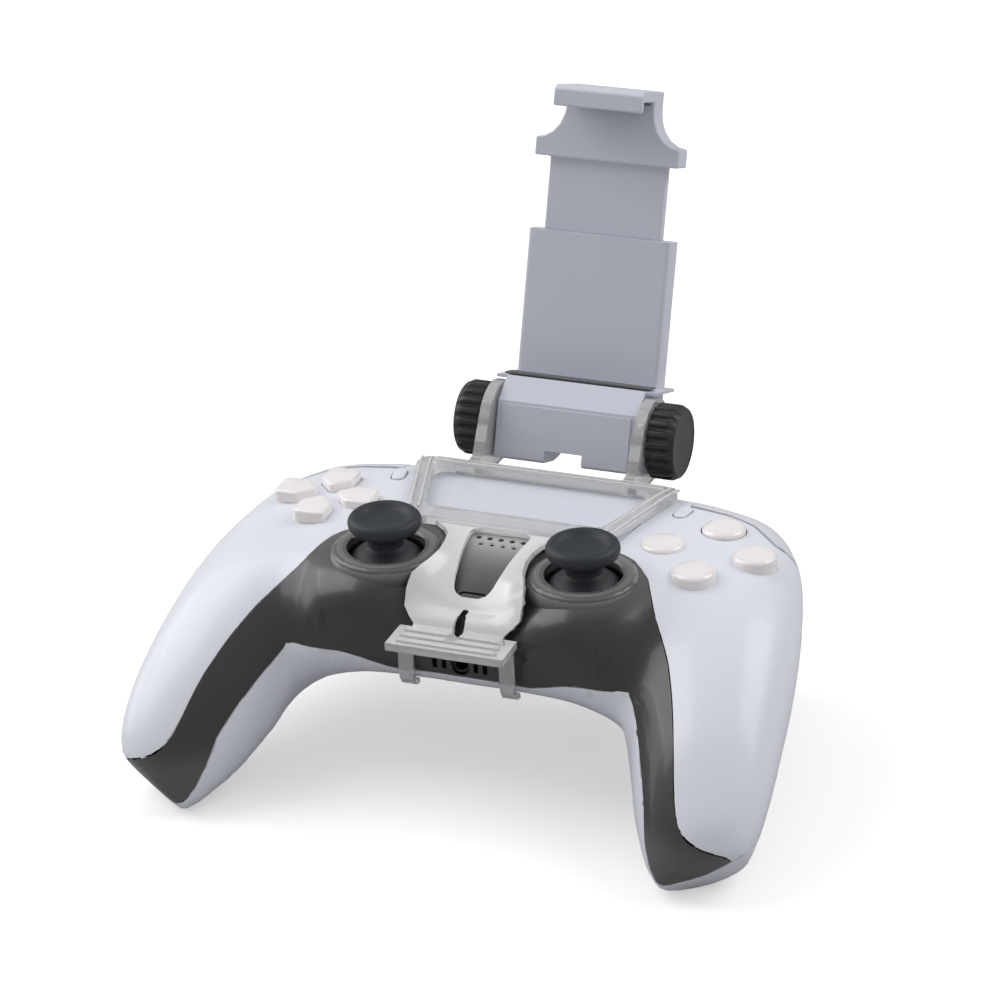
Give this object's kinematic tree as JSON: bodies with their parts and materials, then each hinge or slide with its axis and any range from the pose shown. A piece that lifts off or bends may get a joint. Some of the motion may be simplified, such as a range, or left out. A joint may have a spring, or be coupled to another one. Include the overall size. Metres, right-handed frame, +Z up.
{
  "type": "game controller with clip-on phone mount",
  "caption": "Two-handed game controller with thumb sticks, direction keys, round buttons and triggers, carrying a clear clip-on bracket with a tilting, sliding phone clamp.",
  "frame": {"origin": "middle of the floor rectangle under the whole object, at the height of the surface it rests on", "axes": "+X to the player's right, +Y away from the player towards the triggers, +Z up out of the button face"},
  "size_m": [0.163, 0.1584, 0.1421],
  "materials": {
    "shell": "fine satin, cool white",
    "shoulder": "satin, pale grey",
    "trim": "semi-gloss black-brown",
    "stick": "soft charcoal rubber",
    "button": "pearl gloss",
    "clear": "clear, polished",
    "clamp": "satin lavender grey",
    "knob": "matte black",
    "steel": "plain",
    "rubber": "thin foam rubber"
  },
  "bodies": {
    "controller": {"back_shell": "shell", "centre_trim": "trim", "wing_right": "shell", "wing_left": "shell", "headset_jack": "knob", "usb_port": "steel", "trigger_pin_right": "steel", "trigger_pin_left": "steel", "clip_bracket": "clear", "hinge_bolt": "steel"},
    "touchpad": {"touchpad": "shell"},
    "button_east": {"button_east": "button"},
    "button_north": {"button_north": "button"},
    "button_west": {"button_west": "button"},
    "button_south": {"button_south": "button"},
    "key_right": {"key_right": "button"},
    "key_up": {"key_up": "button"},
    "key_left": {"key_left": "button"},
    "key_down": {"key_down": "button"},
    "create_button": {"create_button": "shell"},
    "options_button": {"options_button": "shell"},
    "mute_button": {"mute_button": "trim"},
    "gimbal_ring_right": {"gimbal_ring_right": "knob"},
    "stick_post_right": {"stick_post_right": "knob"},
    "stick_cap_right": {"stick_cap_right": "stick"},
    "bumper_right": {"bumper_right": "shoulder"},
    "trigger_right": {"trigger_right": "shoulder"},
    "knob_right": {"knob_right": "knob"},
    "gimbal_ring_left": {"gimbal_ring_left": "knob"},
    "stick_post_left": {"stick_post_left": "knob"},
    "stick_cap_left": {"stick_cap_left": "stick"},
    "bumper_left": {"bumper_left": "shoulder"},
    "trigger_left": {"trigger_left": "shoulder"},
    "knob_left": {"knob_left": "knob"},
    "clamp": {"clamp_body": "clamp", "lower_pad": "rubber"},
    "clamp_slide": {"clamp_slider": "clamp", "upper_pad": "rubber"}
  },
  "joints": [
    {"name": "touchpad_press", "type": "hinge", "parent": "controller", "child": "touchpad", "pos_m": [0, 0.0211, 0.0518], "axis": [1, 0, 0], "range_deg": [0, 1.2], "stiffness_Nm_per_rad": 2},
    {"name": "button_east_press", "type": "slide", "parent": "controller", "child": "button_east", "axis": [0, 0, -1], "range_m": [0, 0.0014], "stiffness_N_per_m": 600},
    {"name": "button_north_press", "type": "slide", "parent": "controller", "child": "button_north", "axis": [0, 0, -1], "range_m": [0, 0.0014], "stiffness_N_per_m": 600},
    {"name": "button_west_press", "type": "slide", "parent": "controller", "child": "button_west", "axis": [0, 0, -1], "range_m": [0, 0.0014], "stiffness_N_per_m": 600},
    {"name": "button_south_press", "type": "slide", "parent": "controller", "child": "button_south", "axis": [0, 0, -1], "range_m": [0, 0.0014], "stiffness_N_per_m": 600},
    {"name": "key_right_press", "type": "slide", "parent": "controller", "child": "key_right", "axis": [0, 0, -1], "range_m": [0, 0.0014], "stiffness_N_per_m": 600},
    {"name": "key_up_press", "type": "slide", "parent": "controller", "child": "key_up", "axis": [0, 0, -1], "range_m": [0, 0.0014], "stiffness_N_per_m": 600},
    {"name": "key_left_press", "type": "slide", "parent": "controller", "child": "key_left", "axis": [0, 0, -1], "range_m": [0, 0.0014], "stiffness_N_per_m": 600},
    {"name": "key_down_press", "type": "slide", "parent": "controller", "child": "key_down", "axis": [0, 0, -1], "range_m": [0, 0.0014], "stiffness_N_per_m": 600},
    {"name": "create_button_press", "type": "slide", "parent": "controller", "child": "create_button", "axis": [0, 0, -1], "range_m": [0, 0.0008], "stiffness_N_per_m": 800},
    {"name": "options_button_press", "type": "slide", "parent": "controller", "child": "options_button", "axis": [0, 0, -1], "range_m": [0, 0.0008], "stiffness_N_per_m": 800},
    {"name": "mute_button_press", "type": "slide", "parent": "controller", "child": "mute_button", "axis": [0, 0.4695, -0.8829], "range_m": [0, 0.0006], "stiffness_N_per_m": 800},
    {"name": "stick_right_fore_aft", "type": "hinge", "parent": "controller", "child": "gimbal_ring_right", "pos_m": [0.02565, -0.0267, 0.043], "axis": [1, 0, 0], "range_deg": [-15, 15], "stiffness_Nm_per_rad": 0.05},
    {"name": "stick_right_sideways", "type": "hinge", "parent": "gimbal_ring_right", "child": "stick_post_right", "pos_m": [0.02565, -0.0267, 0.043], "axis": [0, 1, 0], "range_deg": [-15, 15], "stiffness_Nm_per_rad": 0.05},
    {"name": "stick_right_click", "type": "slide", "parent": "stick_post_right", "child": "stick_cap_right", "axis": [0, 0, -1], "range_m": [0, 0.0004], "stiffness_N_per_m": 3000},
    {"name": "bumper_right_press", "type": "slide", "parent": "controller", "child": "bumper_right", "axis": [0, -1, 0], "range_m": [0, 0.001], "stiffness_N_per_m": 1500},
    {"name": "trigger_right_pull", "type": "hinge", "parent": "controller", "child": "trigger_right", "pos_m": [0.04, 0.013, 0.0405], "axis": [1, 0, 0], "range_deg": [-14, 0], "stiffness_Nm_per_rad": 0.7},
    {"name": "knob_right_turn", "type": "hinge", "parent": "controller", "child": "knob_right", "pos_m": [0.022, 0.0369, 0.0598], "axis": [1, 0, 0], "continuous": true},
    {"name": "stick_left_fore_aft", "type": "hinge", "parent": "controller", "child": "gimbal_ring_left", "pos_m": [-0.02565, -0.0267, 0.043], "axis": [1, 0, 0], "range_deg": [-15, 15], "stiffness_Nm_per_rad": 0.05},
    {"name": "stick_left_sideways", "type": "hinge", "parent": "gimbal_ring_left", "child": "stick_post_left", "pos_m": [-0.02565, -0.0267, 0.043], "axis": [0, 1, 0], "range_deg": [-15, 15], "stiffness_Nm_per_rad": 0.05},
    {"name": "stick_left_click", "type": "slide", "parent": "stick_post_left", "child": "stick_cap_left", "axis": [0, 0, -1], "range_m": [0, 0.0004], "stiffness_N_per_m": 3000},
    {"name": "bumper_left_press", "type": "slide", "parent": "controller", "child": "bumper_left", "axis": [0, -1, 0], "range_m": [0, 0.001], "stiffness_N_per_m": 1500},
    {"name": "trigger_left_pull", "type": "hinge", "parent": "controller", "child": "trigger_left", "pos_m": [-0.04, 0.013, 0.0405], "axis": [1, 0, 0], "range_deg": [-14, 0], "stiffness_Nm_per_rad": 0.7},
    {"name": "knob_left_turn", "type": "hinge", "parent": "controller", "child": "knob_left", "pos_m": [-0.022, 0.0369, 0.0598], "axis": [1, 0, 0], "continuous": true},
    {"name": "clamp_tilt", "type": "hinge", "parent": "controller", "child": "clamp", "pos_m": [0, 0.0369, 0.0598], "axis": [1, 0, 0], "range_deg": [-60, 85]},
    {"name": "jaw_slide", "type": "slide", "parent": "clamp", "child": "clamp_slide", "axis": [0, 0.342, 0.9397], "range_m": [-0.0175, 0.016]}
  ]
}
